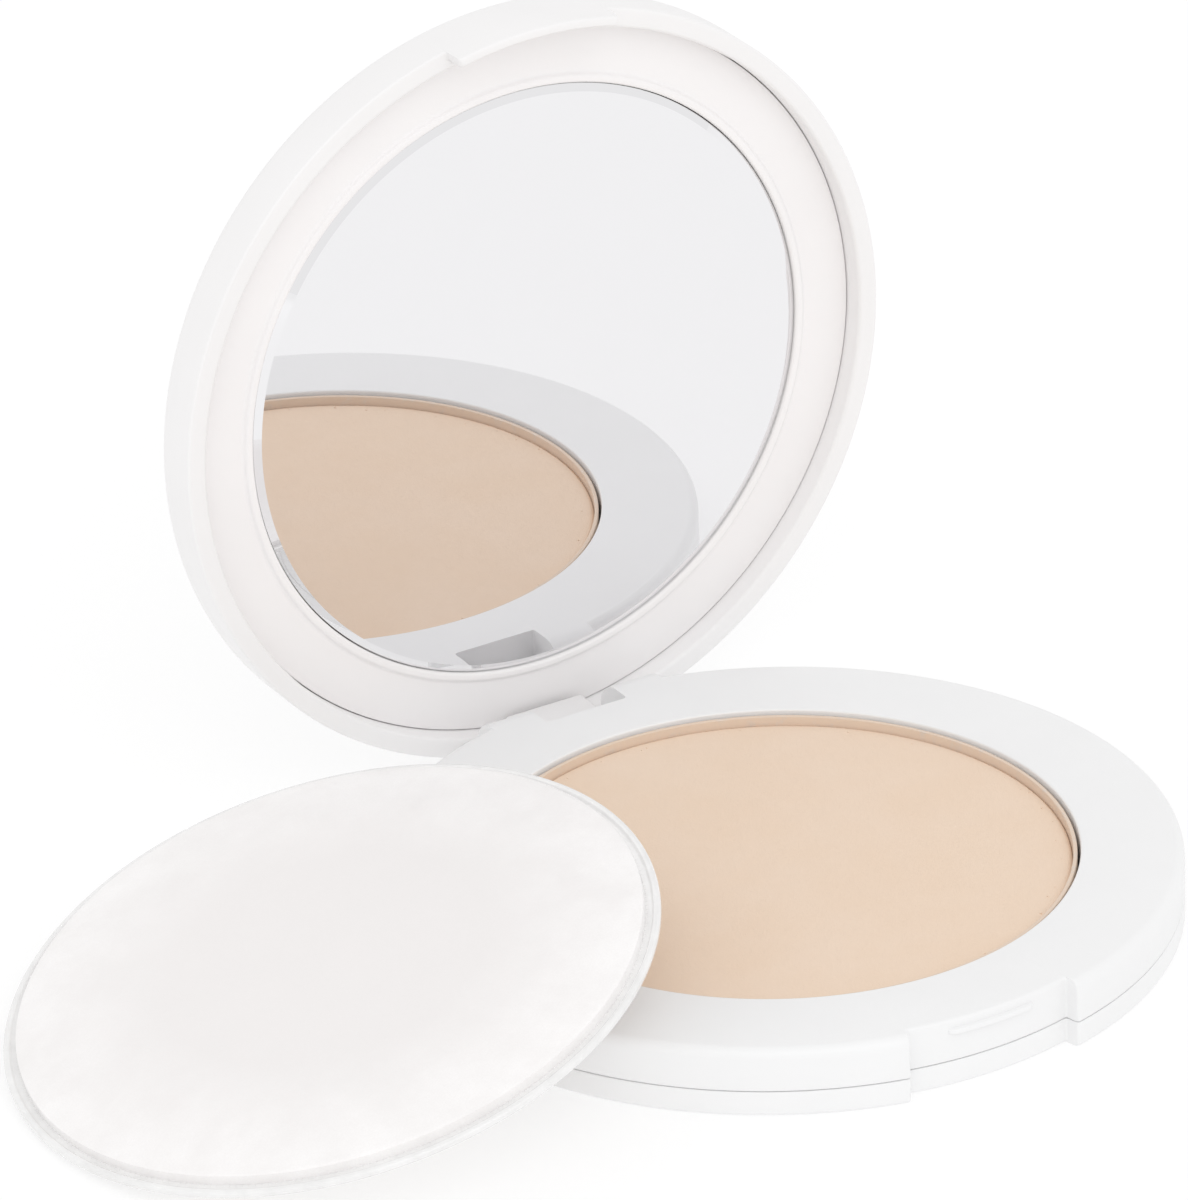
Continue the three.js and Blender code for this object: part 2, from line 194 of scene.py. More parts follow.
class HingeSettings(bpy.types.PropertyGroup):
    block_half_width: length("Block half-width", 9.5 * MM, "Half the hinge block's width")
    notch_half_width: length("Notch half-width", 4.5 * MM, "Half the width of the notch")
    notch_front: length("Notch front", 1.9 * MM, "Pin axis to the notch's front wall")
    arm_front: length("Arm front", 1.5 * MM, "Pin axis to the arm's front face")
    arm_back: length("Arm back", 1.7 * MM, "Pin axis to the arm's back face")
    heel_drop: length("Heel drop", 1.75 * MM, "Pin axis to the arm's squared heel")
    side_gap: length("Side gap", 0.3 * MM, "Clearance on each side of the arm")


class LidSettings(bpy.types.PropertyGroup):
    crown: length("Crown", 0.4 * MM, "How far the lid's back is domed")
    rim_depth: length("Rim depth", 1.85 * MM, "Rim to the crest of the lip round the mirror")
    lip_height: length("Lip height", 0.35 * MM, "Height of the lip round the mirror")
    lip_width: length("Lip width", 0.75 * MM, "Width of the lip round the mirror")
    wall: length("Wall", 2.0 * MM, "Thickness of the lid's side wall")
    back: length("Back", 1.0 * MM, "Thickness of the lid's back")
    edge: length("Back edge", 1.5 * MM, "Rounding of the lid's back edge")
    tab_reach: length("Tab reach", 2.5 * MM, "How far the front tab hangs below the rim")
    tab_wall: length("Tab wall", 0.9 * MM, "Thickness of the front tab")
    tab_gap: length("Tab gap", 0.4 * MM, "Clearance between the tab and the thumb recess")


class MirrorSettings(bpy.types.PropertyGroup):
    bevel_width: length("Bevel width", 0.75 * MM, "Width of the bevel ground round the glass")
    bevel_drop: length("Bevel drop", 0.32 * MM, "Depth of the bevel at the glass's edge")
    silver_colour: colour("Silver", (0.865, 0.86, 0.872), "Tint of the silvered back")


class PowderSettings(bpy.types.PropertyGroup):
    colour: colour("Powder", (0.85, 0.687, 0.553), "Colour of the powder")
    shade: colour("Powder shade", (0.835, 0.66, 0.515), "Colour in its darker patches")
    edge: length("Edge", 0.5 * MM, "Rounding at the cake's edge")
    crumbs: IntProperty(name="Crumbs", description="Loose grains along the cake's edge", default=46)
    crumb_size: length("Crumb size", 0.07 * MM, "Radius of a loose grain")


class PuffSettings(bpy.types.PropertyGroup):
    front_crown: length("Front crown", 2.0 * MM, "Height of the front above the seam")
    back_crown: length("Back crown", 4.2 * MM, "Depth of the back below the seam")
    flange: length("Flange", 1.6 * MM, "Width of the welded edge")
    flange_thickness: length("Flange thickness", 0.7 * MM, "Thickness of the welded edge")
    ribs: IntProperty(name="Weld ribs", description="Fine ribs along the weld", default=300)
    velour_colour: colour("Velour", (0.875, 0.85, 0.842), "White of the puff's front")
    satin_colour: colour("Satin", (0.86, 0.83, 0.81), "White of the puff's back")


class StageSettings(bpy.types.PropertyGroup):
    floor_size: length("Floor size", 6.0, "Side of the square floor")
    sky: FloatProperty(name="Sky", default=0.93,
                       description="Strength of the even light all round")
    key: FloatProperty(name="Key light", default=3.6, unit="POWER",
                       description="Power of the soft light in front")
    floor_glow: FloatProperty(name="Floor glow", default=0.61,
                              description="Light given off by the floor, as on a light table")
    lens: FloatProperty(name="Lens", description="Focal length in millimetres", default=292.3)


# ---- Mesh helpers ---------------------------------------------------------------------------

def cleaned(mesh, distance):
    """Merges a mesh's doubles, drops its slivers and turns its faces outwards."""
    shell = bmesh.new()
    shell.from_mesh(mesh)
    bmesh.ops.remove_doubles(shell, verts=shell.verts, dist=distance)
    bmesh.ops.dissolve_degenerate(shell, edges=shell.edges, dist=1e-7)
    bmesh.ops.recalc_face_normals(shell, faces=shell.faces)
    shell.to_mesh(mesh)
    shell.free()


def mesh_object(name, points, faces, sharp=35):
    """A closed mesh at the origin, cleaned and shaded."""
    mesh = bpy.data.meshes.new(name)
    mesh.from_pydata([tuple(point) for point in points], [], faces)
    cleaned(mesh, 1e-7)
    piece = bpy.data.objects.new(name, mesh)
    bpy.context.scene.collection.objects.link(piece)
    shade(piece, sharp)
    return piece


def shade(piece, sharp=35):
    """Smooth shading, with edges past this angle in degrees kept sharp."""
    piece.data.polygons.foreach_set("use_smooth", [True] * len(piece.data.polygons))
    piece.data.set_sharp_from_angle(angle=math.radians(sharp))


def rounded(corners):
    """An outline whose corners are rounded. Each corner is (across, height, radius, steps)."""
    outline = []
    for i, (across, height, radius, steps) in enumerate(corners):
        corner = Vector((across, height))
        if not steps:
            outline.append(corner)
            continue
        before = Vector(corners[i - 1][:2]) - corner
        after = Vector(corners[(i + 1) % len(corners)][:2]) - corner
        reach = 0.45 * min(before.length, after.length)
        before.normalize()
        after.normalize()
        angle = before.angle(after)
        if angle > math.pi - 0.05:
            start, end = corner + before * min(radius, reach), corner + after * min(radius, reach)
            outline += [start.lerp(end, step / steps) for step in range(steps + 1)]
            continue
        tangent = min(radius / math.tan(angle / 2), reach)
        radius = tangent * math.tan(angle / 2)
        centre = corner + (before + after).normalized() * (radius / math.sin(angle / 2))
        start = corner + before * tangent - centre
        end = corner + after * tangent - centre
        turn = math.pi - angle
        for step in range(steps + 1):
            share = step / steps
            mix = start * math.sin((1 - share) * turn) + end * math.sin(share * turn)
            outline.append(centre + mix / math.sin(turn))
    return outline


def swept(name, columns, closed=True, sharp=35):
    """A mesh round the Z axis from sections with equal numbers of points. An open section starts
    and ends on the axis."""
    count = len(columns[0])
    points = [point for column in columns for point in column]
    faces = []
    for i in range(len(columns)):
        j = (i + 1) % len(columns)
        for k in range(count if closed else count - 1):
            m = (k + 1) % count
            faces.append((i * count + k, j * count + k, j * count + m, i * count + m))
    return mesh_object(name, points, faces, sharp)


def capped(name, sections):
    """A mesh through a row of sections with equal numbers of points, closed flat at its ends."""
    size, last = len(sections[0]), len(sections) - 1
    points = [point for section in sections for point in section]
    faces = [tuple(range(size)), tuple(range(last * size, (last + 1) * size))]
    for i in range(last):
        for k in range(size):
            m = (k + 1) % size
            faces.append((i * size + k, (i + 1) * size + k, (i + 1) * size + m, i * size + m))
    return mesh_object(name, points, faces)


def wall_steps(depth, inner, outer, steps=4):
    """Offsets and shares of the height of a wall with a hollow and a rounded corner."""
    profile = []
    for step in range(steps + 1):
        turn = math.pi / 2 * step / steps
        profile.append((-inner + inner * math.sin(turn), inner * (1 - math.cos(turn)) / depth))
    for step in range(steps + 1):
        turn = math.pi / 2 * step / steps
        rise = depth - outer + outer * math.sin(turn)
        profile.append((outer * (1 - math.cos(turn)), rise / depth))
    return profile


def around(angle, outline):
    """An outline set upright at an angle, counted from -Y towards +X."""
    return [
        Vector((p.x * math.sin(angle), -p.x * math.cos(angle), p.y)) for p in outline
    ]


def across_back(x, outline, flat_from=None):
    """An outline set at one X behind the middle. Points past flat_from lie in planes of one Y,
    the rest on circles."""
    column = []
    for p in outline:
        if flat_from and p.x >= flat_from:
            column.append(Vector((x, p.x, p.y)))
        elif p.x >= ARC_FROM:
            column.append(Vector((x, math.sqrt(p.x ** 2 - x ** 2), p.y)))
        else:
            angle = math.asin(x / CASE_RADIUS)
            column.append(Vector((p.x * math.sin(angle), p.x * math.cos(angle), p.y)))
    return column


def between(first, second, share):
    """A section this share of the way from the first to the second."""
    return [a.lerp(b, share) for a, b in zip(first, second)]


def front_zone(plain, special, half_angle, depth, radius):
    """Columns round the -Y side, where the section changes inside half_angle."""
    columns = []
    steps = wall_steps(depth, CORNER, CORNER)
    for offset, share in reversed(steps):
        angle = -half_angle - offset / radius
        columns.append(between(around(angle, special), around(angle, plain), share))
    inside = half_angle - 2 * CORNER / radius
    for step in range(25):
        columns.append(around(-inside + 2 * inside * step / 24, special))
    for offset, share in steps:
        angle = half_angle + offset / radius
        columns.append(between(around(angle, special), around(angle, plain), share))
    return columns


def side_columns(plain, start, end, step=math.radians(1.5)):
    """Columns of the plain section from one angle to another."""
    count = max(2, round((end - start) / step))
    return [around(start + (end - start) * i / count, plain) for i in range(count + 1)]


def cut(piece, tool, operation="DIFFERENCE"):
    """Cuts or joins a helper solid into a piece, and removes the helper."""
    modifier = piece.modifiers.new("cut", "BOOLEAN")
    modifier.operation = operation
    modifier.solver = "EXACT"
    modifier.object = tool
    depsgraph = bpy.context.evaluated_depsgraph_get()
    mesh = bpy.data.meshes.new_from_object(piece.evaluated_get(depsgraph))
    piece.modifiers.remove(modifier)
    piece.data = mesh
    bpy.data.objects.remove(tool)


def rod(name, radius, start, end, segments=64):
    """A plain rod from start to end, a helper for cutting."""
    turn = (end - start).to_track_quat("Z", "Y").to_matrix()
    angles = [2 * math.pi * i / segments for i in range(segments)]
    circle = [turn @ Vector((radius * math.cos(a), radius * math.sin(a), 0)) for a in angles]
    return capped(name, [[centre + spoke for spoke in circle] for centre in (start, end)])


def settle(piece, body, slot, *nodes, look=None):
    """Gives a piece its finish and its body, and hides the nodes that it stands for. The slot is
    not used.
    """
    if look:
        piece.data.materials.clear()
        piece.data.materials.append(look)
    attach(piece, body)
    if nodes:
        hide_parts(*nodes)
    return piece


# ---- Geometry Nodes -------------------------------------------------------------------------

class Builder:
    """Adds nodes to self.tree and links or sets their inputs."""

    def add(self, kind, settings=None, **links):
        node = self.tree.nodes.new(kind)
        for key, value in (settings or {}).items():
            setattr(node, key, value)
        for label, value in links.items():
            self.put(node.inputs[label.replace("_", " ")], value)
        return node

    def put(self, socket, value):
        if isinstance(value, bpy.types.NodeSocket):
            self.tree.links.new(value, socket)
        else:
            socket.default_value = value


class Tree(Builder):
    """A Geometry Nodes tree under construction. A text value names one of its inputs."""

    def __init__(self, name, inputs):
        self.tree = bpy.data.node_groups.new(name, "GeometryNodeTree")
        self.keys = {}
        sockets = {"geometry": "NodeSocketGeometry", "float": "NodeSocketFloat",
                   "int": "NodeSocketInt", "material": "NodeSocketMaterial",
                   "object": "NodeSocketObject"}
        self.tree.interface.new_socket("Geometry", in_out="OUTPUT",
                                       socket_type=sockets["geometry"])
        for label, kind in inputs.items():
            item = self.tree.interface.new_socket(label, in_out="INPUT", socket_type=sockets[kind])
            self.keys[label] = item.identifier
        self.start = self.tree.nodes.new("NodeGroupInput")
        self.end = self.tree.nodes.new("NodeGroupOutput")

    def put(self, socket, value):
        super().put(socket, self.start.outputs[value] if isinstance(value, str) else value)

    def close(self, geometry):
        """Ends the tree: instances made real, then the material set."""
        real = self.add("GeometryNodeRealizeInstances", Geometry=geometry)
        painted = self.add("GeometryNodeSetMaterial", Geometry=real.outputs[0],
                           Material="Material")
        self.tree.links.new(painted.outputs[0], self.end.inputs[0])


def grown(name, tree, values, mesh=None, sharp=35):
    """A plain mesh made by a Geometry Nodes tree with these input values."""
    source = bpy.data.objects.new(name, mesh or bpy.data.meshes.new(name))
    bpy.context.scene.collection.objects.link(source)
    modifier = source.modifiers.new("grow", "NODES")
    modifier.node_group = tree.tree
    for label, value in values.items():
        modifier[tree.keys[label]] = value
    bpy.context.view_layer.update()
    depsgraph = bpy.context.evaluated_depsgraph_get()
    result = bpy.data.meshes.new_from_object(source.evaluated_get(depsgraph))
    source.modifiers.clear()
    source.data = result
    result.name = name
    shade(source, sharp)
    return source


def turned_tree():
    """Turns a profile curve about the Z axis. The profile is drawn with its X across, counted
    from the turning circle."""
    tree = Tree("Turned part", {"Profile": "object", "Turning radius": "float",
                                "Segments": "int", "Material": "material"})
    profile = tree.add("GeometryNodeObjectInfo", Object="Profile")
    circle = tree.add("GeometryNodeCurvePrimitiveCircle", Resolution="Segments",
                      Radius="Turning radius")
    body = tree.add("GeometryNodeCurveToMesh", Curve=circle.outputs[0],
                    Profile_Curve=profile.outputs["Geometry"])
    merged = tree.add("GeometryNodeMergeByDistance", Geometry=body.outputs[0], Distance=1e-6)
    tree.close(merged.outputs[0])
    return tree


def turned(name, corners, look, segments=256, closed=False, sharp=35):
    """A turned part from (radius, height, rounding, steps) corners."""
    outline = rounded(corners)
    circle = max(point.x for point in outline)
    curve = bpy.data.curves.new(name + "_profile", "CURVE")
    curve.dimensions = "2D"
    line = curve.splines.new("POLY")
    line.points.add(len(outline) - 1)
    line.use_cyclic_u = closed
    for spot, point in zip(line.points, outline):
        spot.co = (point.x - circle, -point.y, 0, 1)
    profile = bpy.data.objects.new(name + "_profile", curve)
    bpy.context.scene.collection.objects.link(profile)
    piece = grown(name, turned_tree(), {"Profile": profile, "Turning radius": circle,
                                        "Segments": segments, "Material": look})
    bpy.data.objects.remove(profile)
    cleaned(piece.data, 2e-6)
    shade(piece, sharp)
    return piece


# ---- Finishes -------------------------------------------------------------------------------

class Finish(Builder):
    """A material under construction on the Principled shader, patterned in object space."""

    def __init__(self, name, colour, roughness, **sockets):
        self.material = bpy.data.materials.new(name)
        self.material.use_nodes = True
        self.tree = self.material.node_tree
        self.shader = self.tree.nodes["Principled BSDF"]
        self.shader.inputs["Base Color"].default_value = (*colour, 1)
        self.shader.inputs["Roughness"].default_value = roughness
        for label, value in sockets.items():
            self.shader.inputs[label.replace("_", " ")].default_value = value
        self.place = self.add("ShaderNodeTexCoord").outputs["Object"]
        self.material.diffuse_color = (*colour, 1)

    def stretched(self, factors):
        """The place, stretched for a directional pattern."""
        return self.add("ShaderNodeMapping", Vector=self.place, Scale=factors).outputs[0]

    def grain(self, size, detail=4.0, rough=0.55, place=None):
        """Noise whose features are about this size."""
        return self.add("ShaderNodeTexNoise", Vector=place or self.place, Scale=1 / size,
                        Detail=detail, Roughness=rough).outputs[0]

    def cells(self, size, feature="F1"):
        return self.add("ShaderNodeTexVoronoi", {"feature": feature}, Vector=self.place,
                        Scale=1 / size).outputs["Distance"]

    def between(self, value, low, high, out_low, out_high):
        """A value mapped from one range to another."""
        return self.add("ShaderNodeMapRange", Value=value, From_Min=low, From_Max=high,
                        To_Min=out_low, To_Max=out_high).outputs[0]

    def sum(self, first, second, weight=1.0):
        """The first value plus a share of the second."""
        scaled = self.add("ShaderNodeMath", {"operation": "MULTIPLY"})
        self.put(scaled.inputs[0], second)
        scaled.inputs[1].default_value = weight
        total = self.add("ShaderNodeMath", {"operation": "ADD"})
        self.put(total.inputs[0], first)
        self.put(total.inputs[1], scaled.outputs[0])
        return total.outputs[0]

    def tint(self, share, first, second):
        """Blends two colours by a share and makes it the base colour."""
        mix = self.add("ShaderNodeMix", {"data_type": "RGBA"})
        self.put(mix.inputs[0], share)
        self.put(mix.inputs[6], first if isinstance(first, bpy.types.NodeSocket) else (*first, 1))
        mix.inputs[7].default_value = (*second, 1)
        self.put(self.shader.inputs["Base Color"], mix.outputs[2])
        return mix.outputs[2]

    def rough(self, value, low, high):
        self.put(self.shader.inputs["Roughness"], self.between(value, 0.3, 0.7, low, high))

    def bump(self, height, distance, strength=1.0):
        """Adds relief, on top of any that the finish already has."""
        node = self.add("ShaderNodeBump", Height=height, Distance=distance, Strength=strength)
        normal = self.shader.inputs["Normal"]
        if normal.is_linked:
            self.put(node.inputs["Normal"], normal.links[0].from_socket)
        self.put(normal, node.outputs[0])


def shaded(colour, factor):
    return tuple(channel * factor for channel in colour)


def moulded_plastic(name, colour, gloss):
    """Polished moulding: faint flow marks, a fine mould texture and uneven gloss."""
    finish = Finish(name, colour, gloss, IOR=1.49)
    cloud = finish.grain(14 * MM, 2)
    finish.tint(finish.between(cloud, 0.35, 0.65, 0, 1), colour, shaded(colour, 0.985))
    haze = finish.grain(1.1 * MM, 6, 0.6)
    finish.rough(haze, gloss - 0.04, gloss + 0.07)
    finish.bump(haze, 0.0015 * MM)
    finish.bump(finish.grain(9 * MM, 1), 0.02 * MM)
    return finish.material


def pressed_powder_finish(colour, shade_colour):
    """Chalky cake: fine grains, patches of shade and paler specks."""
    finish = Finish("pressed_powder", colour, 1.0, IOR=1.3)
    finish.shader.inputs["Specular IOR Level"].default_value = 0.25
    patches = finish.grain(9 * MM, 5, 0.6)
    toned = finish.tint(finish.between(patches, 0.35, 0.7, 0, 0.75), colour, shade_colour)
    grains = finish.grain(0.28 * MM, 5, 0.7)
    toned = finish.tint(finish.between(grains, 0.62, 0.8, 0, 0.35), toned,
                        tuple(min(1, channel * 1.1) for channel in colour))
    finish.tint(finish.between(grains, 0.38, 0.22, 0, 0.45), toned, shaded(shade_colour, 0.9))
    relief = finish.sum(finish.grain(0.22 * MM, 6, 0.7), finish.cells(0.5 * MM), 0.35)
    finish.bump(relief, 0.05 * MM, 0.8)
    finish.bump(finish.grain(2.4 * MM, 3), 0.05 * MM, 0.6)
    return finish.material


def silver_finish(colour):
    """Silvering behind the mirror's glass."""
    finish = Finish("mirror_silver", colour, 0.015, Metallic=1.0)
    cloud = finish.grain(22 * MM, 1)
    finish.tint(finish.between(cloud, 0.3, 0.7, 0, 1), colour, shaded(colour, 0.99))
    return finish.material


def glass_finish(colour):
    """Silvered glass seen from the front, with a faint smear here and there."""
    finish = Finish("mirror_glass", colour, 0.0, Metallic=1.0)
    smear = finish.grain(7 * MM, 3)
    finish.tint(smear, colour, shaded(colour, 0.99))
    finish.put(finish.shader.inputs["Roughness"], finish.between(smear, 0.55, 0.8, 0.0, 0.025))
    return finish.material


def ground_glass_finish():
    """Ground and frosted edge of the mirror's glass."""
    finish = Finish("ground_glass", (0.88, 0.9, 0.89), 0.55, IOR=1.52)
    frost = finish.grain(0.12 * MM, 3)
    finish.tint(frost, (0.91, 0.93, 0.92), (0.82, 0.85, 0.84))
    finish.bump(frost, 0.01 * MM)
    return finish.material


def tin_finish(dust):
    """Tinplate of the powder pan, dusted with powder."""
    finish = Finish("tinplate", dust, 0.45)
    drawn = finish.grain(0.5 * MM, 4, place=finish.stretched((1, 1, 14)))
    bare = finish.between(finish.grain(1.5 * MM, 5, 0.6), 0.56, 0.8, 0, 0.7)
    finish.tint(bare, dust, (0.72, 0.71, 0.69))
    finish.put(finish.shader.inputs["Metallic"], bare)
    finish.rough(drawn, 0.4, 0.6)
    finish.bump(drawn, 0.004 * MM)
    return finish.material


def steel_finish():
    """Drawn steel wire of the hinge pin."""
    finish = Finish("pin_steel", (0.55, 0.55, 0.56), 0.3, Metallic=1.0)
    drawn = finish.grain(0.3 * MM, 4, place=finish.stretched((0.05, 1, 1)))
    finish.rough(drawn, 0.22, 0.4)
    finish.bump(drawn, 0.003 * MM)
    return finish.material


def paper_finish():
    """Coated label paper."""
    finish = Finish("label_paper", (0.86, 0.85, 0.82), 0.6)
    fibres = finish.grain(0.4 * MM, 6, 0.7)
    finish.tint(fibres, (0.88, 0.87, 0.84), (0.83, 0.82, 0.78))
    finish.bump(fibres, 0.01 * MM)
    return finish.material


def glue_finish():
    """Soft yellowish adhesive."""
    finish = Finish("glue", (0.78, 0.74, 0.6), 0.5)
    bubbles = finish.cells(1.2 * MM)
    finish.tint(finish.between(bubbles, 0.1, 0.6, 0, 1), (0.76, 0.72, 0.58), (0.82, 0.79, 0.68))
    finish.bump(bubbles, 0.03 * MM)
    return finish.material


def velour_finish(colour):
    """Short dense pile: soft sheen, painted edge highlight, faint brushed patches and fibre relief.
    """
    finish = Finish("puff_velour", colour, 0.6)
    finish.shader.inputs["Sheen Weight"].default_value = 0.6
    finish.shader.inputs["Sheen Roughness"].default_value = 0.3
    nap = finish.grain(6 * MM, 4, 0.6)
    # Painted highlight: the colour pales towards the puff's rounded edge, standing in for the light
    # and sheen there.
    spread = finish.add("ShaderNodeVectorMath", {"operation": "DISTANCE"})
    finish.put(spread.inputs[0], finish.place)
    spread.inputs[1].default_value = PUFF_PLACE.translation
    painted_sheen_border = finish.between(spread.outputs["Value"], 0.5 * PUFF_RADIUS, 0.9 * PUFF_RADIUS, 0, 1)
    toned = finish.tint(painted_sheen_border, colour, (0.97, 0.955, 0.95))
    toned = finish.tint(finish.between(nap, 0.35, 0.65, 0, 0.5), toned, shaded(colour, 0.985))
    fibres = finish.grain(0.18 * MM, 4, 0.7)
    finish.tint(finish.between(fibres, 0.35, 0.65, 0.3, 0), toned, shaded(colour, 0.95))
    finish.bump(fibres, 0.02 * MM, 0.7)
    finish.bump(finish.grain(1.3 * MM, 3), 0.03 * MM, 0.6)
    return finish.material


def satin_finish(colour):
    """Satin weave: close threads with a soft gloss."""
    finish = Finish("puff_satin", colour, 0.42)
    finish.shader.inputs["Sheen Weight"].default_value = 0.2
    warp = finish.add("ShaderNodeTexWave", Vector=finish.place, Scale=1 / (1.8 * MM),
                      Distortion=0.4, Detail=2.0)
    cloud = finish.grain(4 * MM, 4)
    finish.tint(finish.between(cloud, 0.35, 0.65, 0, 1), colour, shaded(colour, 0.96))
    finish.rough(cloud, 0.36, 0.5)
    finish.bump(warp.outputs[1], 0.012 * MM)
    return finish.material


def weld_finish():
    """Melted and polished edge of the puff, milky and glossy."""
    finish = Finish("puff_weld", (0.93, 0.92, 0.915), 0.2, IOR=1.46)
    finish.shader.inputs["Transmission Weight"].default_value = 0.08
    finish.shader.inputs["Coat Weight"].default_value = 0.6
    finish.shader.inputs["Coat Roughness"].default_value = 0.08
    cloud = finish.grain(2.2 * MM, 4)
    finish.tint(finish.between(cloud, 0.35, 0.65, 0, 1), (0.95, 0.945, 0.94),
                (0.89, 0.885, 0.88))
    finish.bump(cloud, 0.03 * MM)
    return finish.material


def floor_finish(glow):
    """Matt white table, lit a little from below."""
    finish = Finish("floor_table", (0.4, 0.4, 0.4), 0.9)
    finish.shader.inputs["Specular IOR Level"].default_value = 0.0
    finish.shader.inputs["Emission Color"].default_value = (1, 1, 1, 1)
    finish.shader.inputs["Emission Strength"].default_value = glow
    return finish.material


# ---- Stage ----------------------------------------------------------------------------------

class COMPACT_OT_stage(bpy.types.Operator):
    """Makes the floor, the soft studio light and the camera"""
    bl_idname = "compact.stage"
    bl_label = "Stage"

    def execute(self, context):
        scene, settings = context.scene, context.scene.compact_stage
        half = settings.floor_size / 2
        ground = CAD_BOX[0][2] - 0.02 * MM
        floor = mesh_object("studio_floor", [(-half, -half, ground), (half, -half, ground),
                                             (half, half, ground), (-half, half, ground)],
                            [(0, 1, 2, 3)])
        floor.data.materials.append(floor_finish(settings.floor_glow))
        self.light_scene(scene, settings)
        self.place_camera(scene, settings)
        scene.view_settings.view_transform = "Standard"
        return {"FINISHED"}

    def light_scene(self, scene, settings):
        world = bpy.data.worlds.new("studio")
        world.use_nodes = True
        sky = world.node_tree.nodes["Background"]
        sky.inputs["Color"].default_value = (1, 1, 1, 1)
        sky.inputs["Strength"].default_value = settings.sky
        scene.world = world
        lamp = bpy.data.lights.new("softbox", "AREA")
        lamp.shape = "RECTANGLE"
        lamp.size = lamp.size_y = SOFTBOX_SIZE
        lamp.energy = settings.key
        box = bpy.data.objects.new("softbox", lamp)
        box.location = SOFTBOX_PLACE
        box.rotation_euler = (-box.location).to_track_quat("-Z", "Y").to_euler()
        scene.collection.objects.link(box)

    def place_camera(self, scene, settings):
        lens = bpy.data.cameras.new("camera")
        lens.lens = settings.lens
        lens.clip_start, lens.clip_end = 0.01, 50
        camera = bpy.data.objects.new("camera", lens)
        right = Vector(CAMERA_RIGHT).normalized()
        back = Vector(CAMERA_BACK).normalized()
        up = back.cross(right).normalized()
        right = up.cross(back)
        turn = Matrix((right, up, back)).transposed().to_4x4()
        camera.matrix_world = Matrix.Translation(CAMERA_PLACE) @ turn
        scene.collection.objects.link(camera)
        scene.camera = camera


# ---- Base -----------------------------------------------------------------------------------

def plastic(context, part):
    """The case's plastic finish for a part, made once."""
    name = "case_" + part
    found = bpy.data.materials.get(name)
    if found:
        return found
    case = context.scene.compact_case
    colours = {"base": case.base_colour, "lid": case.lid_colour, "lining": case.frame_colour}
    return moulded_plastic(name, tuple(colours[part]), GLOSS[part])


def base_columns(plain, recess, block, case, hinge, block_back):
    """Columns round the base: thumb recess in front, hinge block behind. The block is an outline
    with the distance from which its points lie in flat planes."""
    block_half = hinge.block_half_width
    back_angle = math.pi - math.asin((block_half + 1.0 * MM) / CASE_RADIUS)
    front_end = case.recess_angle + 2.5 * CORNER / CASE_RADIUS
    columns = front_zone(plain, recess, case.recess_angle, case.recess_depth, CASE_RADIUS)
    columns += side_columns(plain, front_end, back_angle)
    side = wall_steps(abs(block_back - math.sqrt(CASE_RADIUS ** 2 - block_half ** 2)),
                      CORNER / 2, CORNER)
    right = [between(across_back(block_half - offset, plain),
                     across_back(block_half - offset, *block), share) for offset, share in side]
    inside = block_half - CORNER
    right += [across_back(inside * step / 10, *block) for step in range(9, 0, -1)]
    mirrored = [[Vector((-p.x, p.y, p.z)) for p in column] for column in reversed(right)]
    columns += right + [across_back(0, *block)] + mirrored
    columns += side_columns(plain, 2 * math.pi - back_angle, 2 * math.pi - front_end)
    return columns


def notch_room(hinge, depth):
    """A block to cut the notch for the lid's arm, with rounded front corners."""
    half, front = hinge.notch_half_width, HINGE.y - hinge.notch_front
    outline = rounded([(-half, front, CORNER, 4), (half, front, CORNER, 4),
                       (half, front + depth, 0, 0), (-half, front + depth, 0, 0)])
    heights = (-MM, 2 * CASE_TOP)
    return capped("notch_room", [[Vector((p.x, p.y, height)) for p in outline]
                                 for height in heights])


class COMPACT_OT_tray(bpy.types.Operator):
    """Makes the base's lower tray"""
    bl_idname = "compact.tray"
    bl_label = "Base tray"

    def execute(self, context):
        case, hinge = context.scene.compact_case, context.scene.compact_hinge
        cut_back = HINGE.y - hinge.notch_front - TRAY_BEHIND_NOTCH
        plain = self.section(CASE_RADIUS, case)
        recess = self.section(CASE_RADIUS - case.recess_depth, case)
        rear = (self.section(cut_back, case), 0.78 * CASE_RADIUS)
        tray = swept("tray", base_columns(plain, recess, rear, case, hinge, cut_back),
                     closed=False)
        low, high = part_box("shade_label")
        middle = (low + high) / 2
        room = (high.x - low.x) / 2 + 0.25 * MM
        cut(tray, rod("label_room", room, Vector((middle.x, middle.y, -MM)),
                      Vector((middle.x, middle.y, high.z + 0.05 * MM)), 96))
        shade(tray)
        settle(tray, "base", "case_plastic", "base_tray", look=plastic(context, "base"))
        return {"FINISHED"}

    def section(self, outer, case):
        inner = outer - case.wall
        return rounded([
            (0, 0, 0, 0),
            (outer, 0, case.foot, 5),
            (outer, case.tray_top, 0.1 * MM, 3),
            (inner, case.tray_top, 0, 0),
            (inner, TRAY_FLOOR, 0, 0),
            (0, TRAY_FLOOR, 0, 0),
        ])


